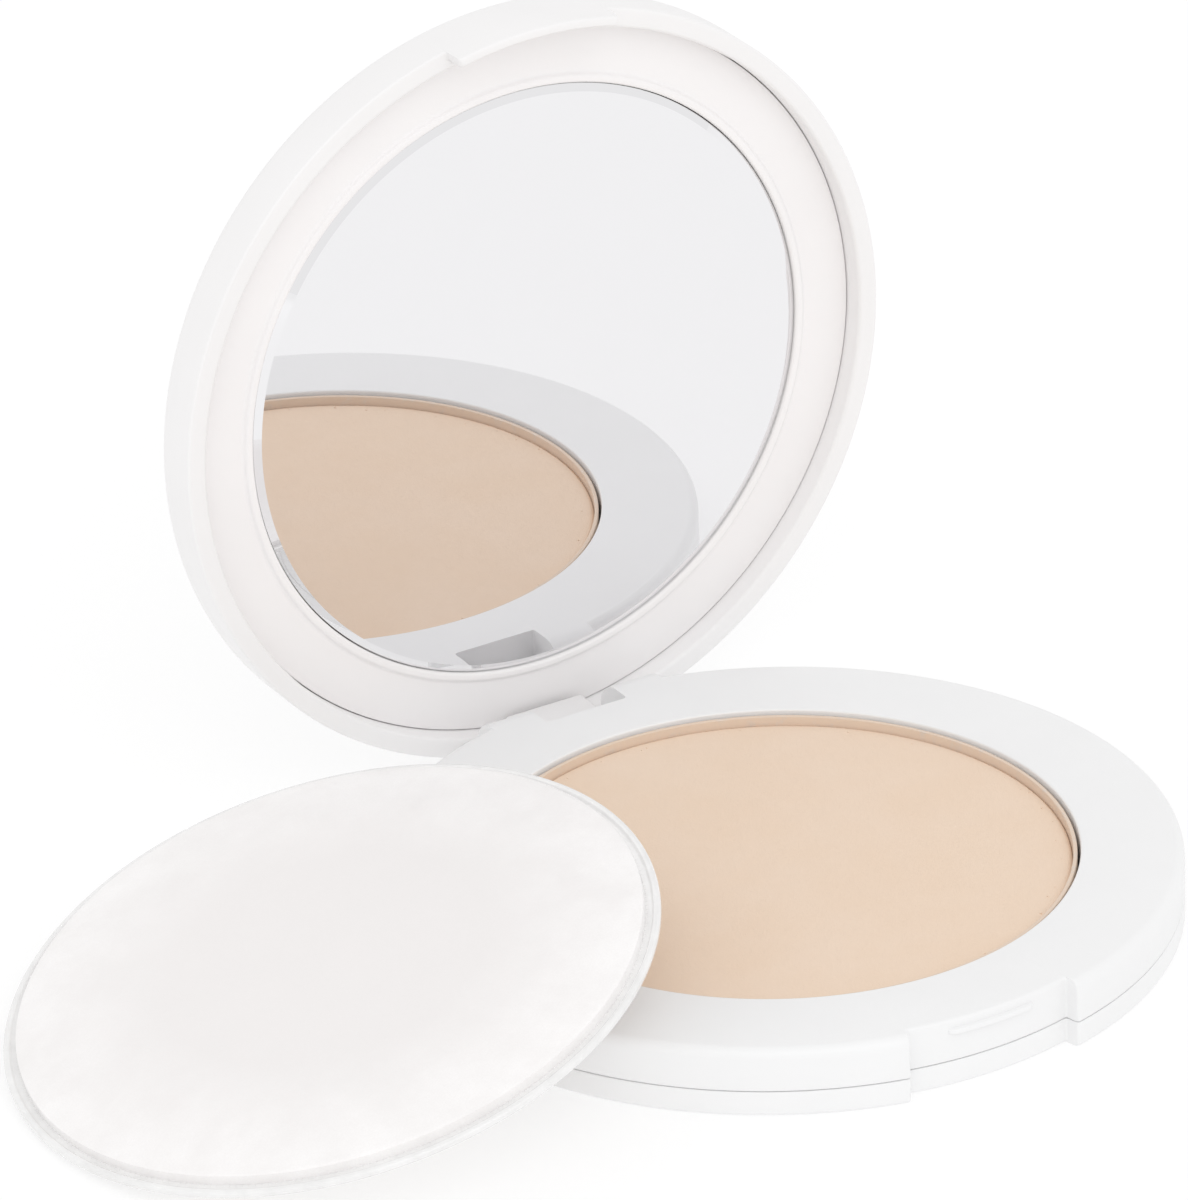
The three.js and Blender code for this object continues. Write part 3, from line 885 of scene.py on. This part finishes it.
class COMPACT_OT_body(bpy.types.Operator):
    """Makes the base's upper body, with its flat ring, thumb recess, snap nib and hinge block"""
    bl_idname = "compact.body"
    bl_label = "Base body"

    def execute(self, context):
        case, hinge = context.scene.compact_case, context.scene.compact_hinge
        bottom = case.tray_top + case.parting_gap
        block_front = HINGE.y - hinge.notch_front - NOTCH_WALL
        plain = self.section(CASE_RADIUS, bottom, case.shoulder, CASE_RADIUS - case.wall, case)
        recess_face = CASE_RADIUS - case.recess_depth
        recess = self.section(recess_face, bottom, 0.35 * MM, recess_face - RECESS_BACKING,
                              case)
        block = (self.section(HINGE_BLOCK_BACK, 0.3 * MM, 3.0 * MM, block_front, case),
                 0.85 * CASE_RADIUS)
        body = swept("case_body", base_columns(plain, recess, block, case, hinge,
                                               HINGE_BLOCK_BACK))
        cut(body, notch_room(hinge, NOTCH_DEPTH))
        bore = Vector((hinge.block_half_width + MM, 0, 0))
        cut(body, rod("pin_bore", PIN_BORE, HINGE - bore, HINGE + bore))
        shade(body)
        settle(body, "base", "case_plastic", "base_body", look=plastic(context, "base"))
        settle(self.nib(case), "base", "case_plastic", look=plastic(context, "base"))
        return {"FINISHED"}

    def section(self, outer, bottom, top_round, inner, case):
        well_outer = WELL_RADIUS + WELL_WALL
        under = CASE_TOP - case.deck
        return rounded([
            (outer, bottom, 0.1 * MM, 3),
            (outer, CASE_TOP, top_round, 10),
            (WELL_RADIUS, CASE_TOP, case.well_edge, 5),
            (WELL_RADIUS, WELL_BOTTOM, 0, 0),
            (well_outer, WELL_BOTTOM, 0, 0),
            (well_outer, under, 0, 0),
            (inner, under, 0, 0),
            (inner, bottom, 0, 0),
        ])

    def nib(self, case):
        """The snap nib: a low bar across the thumb recess, with tapered ends."""
        face = CASE_RADIUS - case.recess_depth
        columns = []
        count = 24
        for i in range(count + 1):
            share = 2 * i / count - 1
            reach = NIB_PROUD * min(1, (1 - abs(share)) * 8 + 0.12)
            outline = rounded([
                (face - 0.2 * MM, NIB_BOTTOM, 0, 0),
                (face + reach, NIB_BOTTOM + 0.12 * MM, 0.12 * MM, 3),
                (face + reach, NIB_TOP - 0.12 * MM, 0.2 * MM, 3),
                (face - 0.2 * MM, NIB_TOP, 0, 0),
            ])
            columns.append(around(NIB_HALF_ANGLE * share, outline))
        return capped("snap_nib", columns)


# ---- Powder ---------------------------------------------------------------------------------

def crumb_tree():
    """Strews small uneven grains over a surface."""
    tree = Tree("Crumbs", {"Geometry": "geometry", "Density": "float", "Grain radius": "float",
                           "Material": "material"})
    spread = tree.add("GeometryNodeDistributePointsOnFaces", Mesh="Geometry", Density="Density",
                      Seed=7)
    ball = tree.add("GeometryNodeMeshIcoSphere", Radius="Grain radius", Subdivisions=2)
    size = tree.add("FunctionNodeRandomValue", {"data_type": "FLOAT"}, Seed=3)
    size.inputs[2].default_value = 0.35
    size.inputs[3].default_value = 1.5
    turn = tree.add("FunctionNodeRandomValue", {"data_type": "FLOAT_VECTOR"}, Seed=5)
    turn.inputs[1].default_value = (6.28, 6.28, 6.28)
    strewn = tree.add("GeometryNodeInstanceOnPoints", Points=spread.outputs["Points"],
                      Instance=ball.outputs[0], Rotation=turn.outputs[0], Scale=size.outputs[1])
    tree.close(strewn.outputs[0])
    return tree


class COMPACT_OT_powder(bpy.types.Operator):
    """Makes the tin pan, the cake of pressed powder and the loose grains along its edge"""
    bl_idname = "compact.powder"
    bl_label = "Powder"

    def execute(self, context):
        settings = context.scene.compact_powder
        pan = turned("tin_pan", [
            (0, PAN_BOTTOM, 0, 0),
            (PAN_RADIUS, PAN_BOTTOM, 0.3 * MM, 4),
            (PAN_RADIUS, PAN_RIM, 0.1 * MM, 3),
            (PAN_RADIUS - PAN_WALL, PAN_RIM, 0.1 * MM, 3),
            (PAN_RADIUS - PAN_WALL, PAN_BOTTOM + PAN_WALL, 0, 0),
            (0, PAN_BOTTOM + PAN_WALL, 0, 0),
        ], tin_finish(shaded(settings.colour, 0.9)))
        settle(pan, "base", "tinplate", "powder_pan")
        powder = pressed_powder_finish(tuple(settings.colour), tuple(settings.shade))
        settle(self.cake(settings), "base", "powder", "pressed_powder", look=powder)
        settle(self.crumbs(settings, powder), "base", "powder")
        return {"FINISHED"}

    def cake(self, settings):
        """The cake, as a fine polar grid so that its pressed face can be faintly uneven."""
        edge = PAN_RADIUS - 0.42 * MM
        outline = rounded([
            (0, POWDER_BOTTOM, 0, 0),
            (edge, POWDER_BOTTOM, 0, 0),
            (edge, POWDER_TOP, settings.edge, 6),
            (0, POWDER_TOP, 0, 0),
        ])
        face = [(edge - settings.edge) * (1 - step / 60) for step in range(1, 60)]
        outline = outline[:-1] + [Vector((across, POWDER_TOP)) for across in face] + outline[-1:]
        columns = [around(2 * math.pi * i / 240, outline) for i in range(240)]
        for column in columns:
            for point in column:
                if point.z > POWDER_TOP - 0.2 * MM:
                    spot = Vector((point.x, point.y, 0)) / (4 * MM)
                    point.z += 0.02 * MM * noise.noise(spot) - 0.02 * MM
        return swept("powder_cake", columns, closed=False, sharp=50)

    def crumbs(self, settings, powder):
        """Loose grains on a narrow ring along the cake's edge."""
        inner, outer = PAN_RADIUS - 1.8 * MM, PAN_RADIUS - 0.9 * MM
        points, faces = [], []
        for i in range(96):
            angle = 2 * math.pi * i / 96
            for across in (inner, outer):
                points.append((across * math.cos(angle), across * math.sin(angle), POWDER_TOP))
            j = (i + 1) % 96
            faces.append((2 * i, 2 * j, 2 * j + 1, 2 * i + 1))
        ring = bpy.data.meshes.new("crumb_ring")
        ring.from_pydata(points, [], faces)
        area = math.pi * (outer ** 2 - inner ** 2)
        return grown("powder_crumbs", crumb_tree(), {
            "Density": settings.crumbs / area, "Grain radius": settings.crumb_size,
            "Material": powder}, ring, 180)


# ---- Lid ------------------------------------------------------------------------------------

class COMPACT_OT_lid(bpy.types.Operator):
    """Makes the lid's shell with its front tab and hinge arm, and the ring round the mirror"""
    bl_idname = "compact.lid"
    bl_label = "Lid"

    def execute(self, context):
        lid, case = context.scene.compact_lid, context.scene.compact_case
        hinge = context.scene.compact_hinge
        rim = LID_FACE - lid.rim_depth
        plain = self.section(lid, rim, False)
        tab = self.section(lid, rim - lid.tab_reach, True)
        half = case.recess_angle - lid.tab_gap / LID_RADIUS
        columns = front_zone(plain, tab, half, lid.wall, LID_RADIUS)
        end = half + 2.5 * CORNER / LID_RADIUS
        columns += side_columns(plain, end, 2 * math.pi - end)
        shell = swept("lid_cover", columns, closed=False)
        cut(shell, self.arm(hinge, rim), "UNION")
        shade(shell)
        shell.data.transform(LID_OPEN)
        settle(shell, "lid", "case_plastic", "lid_shell", look=plastic(context, "lid"))
        self.lining(context)
        return {"FINISHED"}

    def section(self, lid, bottom, is_tab):
        rim = LID_FACE - lid.rim_depth
        inner = LID_RADIUS - lid.wall
        tab_inner = LID_RADIUS - lid.tab_wall
        back = LID_CROWN_TOP - lid.crown
        dome = [(across * LID_RADIUS, back + lid.crown * (1 - across ** 2), 0, 0)
                for across in (0, 0.15, 0.3, 0.45, 0.6, 0.75, 0.88)]
        spread = 0 if is_tab else 0.2 * MM
        return rounded(dome + [
            (LID_RADIUS, back, lid.edge, 10),
            (LID_RADIUS, bottom, 0.25 * MM, 4),
            (tab_inner + spread, bottom, 0.15 * MM, 3),
            (tab_inner - spread, rim, 0.1 * MM, 3),
            (inner, rim, 0.4 * MM, 5),
            (inner, back - lid.back, 0, 0),
            (0, back - lid.back, 0, 0),
        ])

    def arm(self, hinge, rim):
        """The arm from the lid's rim to the pin, squared at its heel."""
        front, rear, heel = -hinge.arm_front, hinge.arm_back, -hinge.heel_drop
        top = rim + 1.6 * MM - HINGE.z
        outline = rounded([
            (front, top, 0.2 * MM, 3),
            (front, heel, 1.4 * MM, 8),
            (1.2 * MM, heel, 0.15 * MM, 2),
            (rear, heel + 0.6 * MM, 0.3 * MM, 3),
            (rear, top, 0.2 * MM, 3),
        ])
        half = hinge.notch_half_width - hinge.side_gap
        edge = 0.2 * MM
        rings = [(-half, edge), (-half + 0.06 * MM, 0.06 * MM), (-half + edge, 0),
                 (half - edge, 0), (half - 0.06 * MM, 0.06 * MM), (half, edge)]
        middle = Vector((0, (top + heel) / 2))
        sections = []
        for x, inset in rings:
            shrunk = [point + (middle - point).normalized() * inset for point in outline]
            sections.append([HINGE + Vector((x, point.x, point.y)) for point in shrunk])
        arm = capped("hinge_arm", sections)
        bore = Vector((half + MM, 0, 0))
        cut(arm, rod("arm_bore", PIN_BORE, HINGE - bore, HINGE + bore))
        return arm

    def lining(self, context):
        """The ring round the mirror, with a raised lip and its cup behind the glass."""
        settings = context.scene.compact_lid
        pocket, reach = MIRROR_RADIUS + 0.12 * MM, LID_FRAME_RADIUS + 0.22 * MM
        face = LID_FACE + settings.lip_height
        back = face + LINING_THICKNESS
        cup = pocket + LINING_THICKNESS
        floor = LID_FRAME_BACK - 0.5 * MM
        ring = turned("mirror_frame", [
            (0, floor, 0, 0),
            (pocket, floor, 0, 0),
            (pocket, LID_FACE, 0.3 * MM, 6),
            (pocket + settings.lip_width, LID_FACE, 0.7 * MM, 6),
            (pocket + settings.lip_width + 0.25 * MM, face + 0.05 * MM, 0.5 * MM, 6),
            (reach, face, 0.15 * MM, 4),
            (reach, back, 0.1 * MM, 2),
            (cup, back, 0.1 * MM, 2),
            (cup, LID_FRAME_BACK, 0.1 * MM, 2),
            (0, LID_FRAME_BACK, 0, 0),
        ], plastic(context, "lining"))
        ring.data.transform(LID_OPEN)
        settle(ring, "lid", "frame_plastic", "lid_inner_frame")


class COMPACT_OT_mirror(bpy.types.Operator):
    """Makes the bevelled mirror glass and the silvering behind it"""
    bl_idname = "compact.mirror"
    bl_label = "Mirror"

    def execute(self, context):
        settings = context.scene.compact_mirror
        glass = turned("bevelled_glass", [
            (0, MIRROR_FRONT, 0, 0),
            (MIRROR_RADIUS - settings.bevel_width, MIRROR_FRONT, 0, 0),
            (MIRROR_RADIUS, MIRROR_FRONT + settings.bevel_drop, 0, 0),
            (MIRROR_RADIUS, MIRROR_BACK, 0, 0),
            (0, MIRROR_BACK, 0, 0),
        ], glass_finish(tuple(settings.silver_colour)), sharp=6)
        glass.data.materials.append(ground_glass_finish())
        for face in glass.data.polygons:
            if math.hypot(face.center.x, face.center.y) > MIRROR_RADIUS - 0.05 * MM:
                face.material_index = 1
        glass.data.transform(LID_OPEN)
        settle(glass, "lid", "mirror_glass", "mirror_glass")
        near = MIRROR_BACK + 0.02 * MM
        silver = turned("silvering", [
            (0, near, 0, 0),
            (MIRROR_RADIUS - 0.1 * MM, near, 0, 0),
            (MIRROR_RADIUS - 0.1 * MM, SILVER_BACK, 0, 0),
            (0, SILVER_BACK, 0, 0),
        ], silver_finish(tuple(settings.silver_colour)), sharp=12)
        silver.data.transform(LID_OPEN)
        settle(silver, "lid", "mirror_silver", "mirror_silvering")
        return {"FINISHED"}


# ---- Puff -----------------------------------------------------------------------------------

def weld_tree():
    """Small ribs spaced along a circle, each pointing outwards."""
    tree = Tree("Weld ribs", {"Ribs": "int", "Circle radius": "float", "Rib length": "float",
                              "Rib width": "float", "Material": "material"})
    circle = tree.add("GeometryNodeMeshCircle", Vertices="Ribs", Radius="Circle radius")
    place = tree.add("GeometryNodeInputPosition")
    aim = tree.add("FunctionNodeAlignRotationToVector", {"axis": "X"}, Vector=place.outputs[0])
    rib = tree.add("GeometryNodeMeshUVSphere", Segments=6, Rings=4, Radius=0.5)
    size = tree.add("ShaderNodeCombineXYZ", X="Rib length", Y="Rib width", Z="Rib width")
    ribs = tree.add("GeometryNodeInstanceOnPoints", Points=circle.outputs[0],
                    Instance=rib.outputs[0], Rotation=aim.outputs[0], Scale=size.outputs[0])
    tree.close(ribs.outputs[0])
    return tree


class COMPACT_OT_puff(bpy.types.Operator):
    """Makes the padded puff, its welded edge and the ribs along the weld"""
    bl_idname = "compact.puff"
    bl_label = "Puff"

    def execute(self, context):
        settings = context.scene.compact_puff
        velour = velour_finish(tuple(settings.velour_colour))
        cushion = self.cushion(settings)
        self.puff_out(cushion)
        self.pucker(cushion, settings)
        cushion.data.materials.append(velour)
        cushion.data.materials.append(satin_finish(tuple(settings.satin_colour)))
        for face in cushion.data.polygons:
            face.material_index = 0 if face.center.z > 0 else 1
        cushion.data.transform(PUFF_PLACE)
        settle(cushion, "puff", "puff_velour", "puff_front", "puff_back", "puff_foam")
        self.weld(settings)
        return {"FINISHED"}

    def crown(self, across, height, fullness, power):
        """Height of a cover at this distance from the puff's centre."""
        return height * max(0.0, 1 - (across / PUFF_RADIUS) ** fullness) ** power

    def cushion(self, settings):
        """The stuffed cover, flat in front over its foam and domed behind."""
        edge = PUFF_RADIUS - settings.flange + SEAM_LAP
        rings, count = 44, 176
        steps = [edge * math.sin(math.pi / 2 * step / rings) for step in range(rings + 1)]
        outline = [Vector((across, self.crown(across, settings.front_crown, *FRONT_FULLNESS)))
                   for across in steps]
        outline += [Vector((across, -self.crown(across, settings.back_crown, *BACK_FULLNESS)))
                    for across in reversed(steps)]
        columns = [around(2 * math.pi * i / count, outline) for i in range(count)]
        return swept("puff_cushion", columns, closed=False, sharp=70)

    def puff_out(self, cushion):
        """Fills the cover by cloth simulation at a larger size, and keeps each point near its
        start so that the puff stays in its space."""
        start = np.array([v.co for v in cushion.data.vertices])
        cushion.data.transform(Matrix.Diagonal((CLOTH_SCALE, CLOTH_SCALE, CLOTH_SCALE, 1)))
        seam = cushion.vertex_groups.new(name="seam")
        across = np.linalg.norm(start[:, :2], axis=1)
        held = [int(i) for i in np.nonzero(across > across.max() - 0.4 * MM)[0]]
        seam.add(held, 1.0, "REPLACE")
        cloth = cushion.modifiers.new("cloth", "CLOTH")
        cloth.settings.vertex_group_mass = "seam"
        cloth.settings.use_pressure = True
        cloth.settings.uniform_pressure_force = CLOTH_PRESSURE
        cloth.settings.mass = 0.3
        cloth.settings.tension_stiffness = 25
        cloth.settings.compression_stiffness = 25
        cloth.settings.bending_stiffness = 4
        cloth.settings.effector_weights.gravity = 0
        cloth.point_cache.frame_start = 1
        cloth.point_cache.frame_end = CLOTH_FRAMES
        scene = bpy.context.scene
        for number in range(1, CLOTH_FRAMES + 1):
            scene.frame_set(number)
        evaluated = cushion.evaluated_get(bpy.context.evaluated_depsgraph_get())
        moved = np.array([v.co for v in evaluated.data.vertices]) / CLOTH_SCALE
        cushion.modifiers.remove(cloth)
        cushion.vertex_groups.clear()
        scene.frame_set(1)
        shift = moved - start
        size = np.linalg.norm(shift, axis=1, keepdims=True)
        shift *= np.minimum(1, CLOTH_REACH / np.maximum(size, 1e-9))
        for vertex, point in zip(cushion.data.vertices, start + shift):
            vertex.co = Vector(point)

    def pucker(self, cushion, settings):
        """Small gathers that run in from the weld and die out."""
        edge = PUFF_RADIUS - settings.flange + SEAM_LAP
        for vertex in cushion.data.vertices:
            point = vertex.co
            across = math.hypot(point.x, point.y)
            if across < 1 * MM:
                continue
            near = math.exp(-((edge - across) / (2.2 * MM)) ** 2)
            rise = min(1, (edge - across) / (0.3 * MM))
            around_edge = Vector((point.x, point.y, 0)) / across
            ripple = noise.noise(around_edge * 9 + Vector((0, 0, 2 if point.z > 0 else 5)))
            ripple += 0.5 * noise.noise(around_edge * 23)
            soft = noise.noise(Vector((point.x, point.y, 0.01)) / (14 * MM))
            lift = 0.1 * MM * ripple * near * rise + 0.09 * MM * soft * rise
            point.z += lift * math.copysign(1, point.z)

    def weld(self, settings):
        """The welded edge: a thin flange with a rounded bead, and fine ribs across it."""
        look = weld_finish()
        inner = PUFF_RADIUS - settings.flange
        half = settings.flange_thickness / 2
        flange = turned("welded_edge", [
            (inner - 0.35 * MM, -0.12 * MM, 0, 0),
            (PUFF_RADIUS - 0.8 * MM, -0.14 * MM, 0.2 * MM, 2),
            (PUFF_RADIUS - 0.6 * MM, -half, 0.2 * MM, 4),
            (PUFF_RADIUS, -half, 0.3 * MM, 5),
            (PUFF_RADIUS, half, 0.3 * MM, 5),
            (PUFF_RADIUS - 0.6 * MM, half, 0.2 * MM, 4),
            (PUFF_RADIUS - 0.8 * MM, 0.14 * MM, 0.2 * MM, 2),
            (inner - 0.35 * MM, 0.12 * MM, 0, 0),
        ], look, closed=True)
        flange.data.transform(PUFF_PLACE)
        settle(flange, "puff", "puff_binding", "puff_binding")
        ribs = grown("weld_ribs", weld_tree(), {
            "Ribs": settings.ribs, "Circle radius": inner + 0.3 * MM, "Rib length": 0.5 * MM,
            "Rib width": 0.34 * MM, "Material": look}, sharp=180)
        ribs.data.transform(PUFF_PLACE)
        settle(ribs, "puff", "puff_binding")


# ---- Hidden pieces --------------------------------------------------------------------------

class COMPACT_OT_hidden(bpy.types.Operator):
    """Gives the pin, the label and the glued layers their finishes"""
    bl_idname = "compact.hidden"
    bl_label = "Pin, label and glue"

    def execute(self, context):
        finishes = {"hinge_pin": steel_finish(), "shade_label": paper_finish()}
        finishes["pan_glue"] = finishes["mirror_pad"] = glue_finish()
        for name, look in finishes.items():
            node = frame["nodes"][name]
            node.data.materials.clear()
            node.data.materials.append(look)
        return {"FINISHED"}


# ---- Add-on ---------------------------------------------------------------------------------

SETTINGS = {"compact_case": CaseSettings, "compact_hinge": HingeSettings,
            "compact_lid": LidSettings, "compact_mirror": MirrorSettings,
            "compact_powder": PowderSettings, "compact_puff": PuffSettings,
            "compact_stage": StageSettings}
OPERATORS = (COMPACT_OT_stage, COMPACT_OT_tray, COMPACT_OT_body, COMPACT_OT_powder,
             COMPACT_OT_lid, COMPACT_OT_mirror, COMPACT_OT_puff, COMPACT_OT_hidden)


class COMPACT_PT_panel(bpy.types.Panel):
    """Lists the compact's pieces"""
    bl_idname = "COMPACT_PT_panel"
    bl_label = "Powder Compact"
    bl_space_type = "VIEW_3D"
    bl_region_type = "UI"
    bl_category = "Compact"

    def draw(self, context):
        for operator in OPERATORS:
            self.layout.operator(operator.bl_idname)
        for name in SETTINGS:
            settings = getattr(context.scene, name)
            column = self.layout.column(heading=name.split("_")[1].title())
            for key in settings.__annotations__:
                column.prop(settings, key)


def register():
    for group in (*SETTINGS.values(), *OPERATORS, COMPACT_PT_panel):
        bpy.utils.register_class(group)
    for name, group in SETTINGS.items():
        setattr(bpy.types.Scene, name, PointerProperty(type=group))


def unregister():
    for name in SETTINGS:
        delattr(bpy.types.Scene, name)
    for group in (COMPACT_PT_panel, *reversed(OPERATORS), *SETTINGS.values()):
        bpy.utils.unregister_class(group)


def main():
    register()
    for operator in OPERATORS:
        group, name = operator.bl_idname.split(".")
        getattr(getattr(bpy.ops, group), name)()


if __name__ == "__main__":
    main()
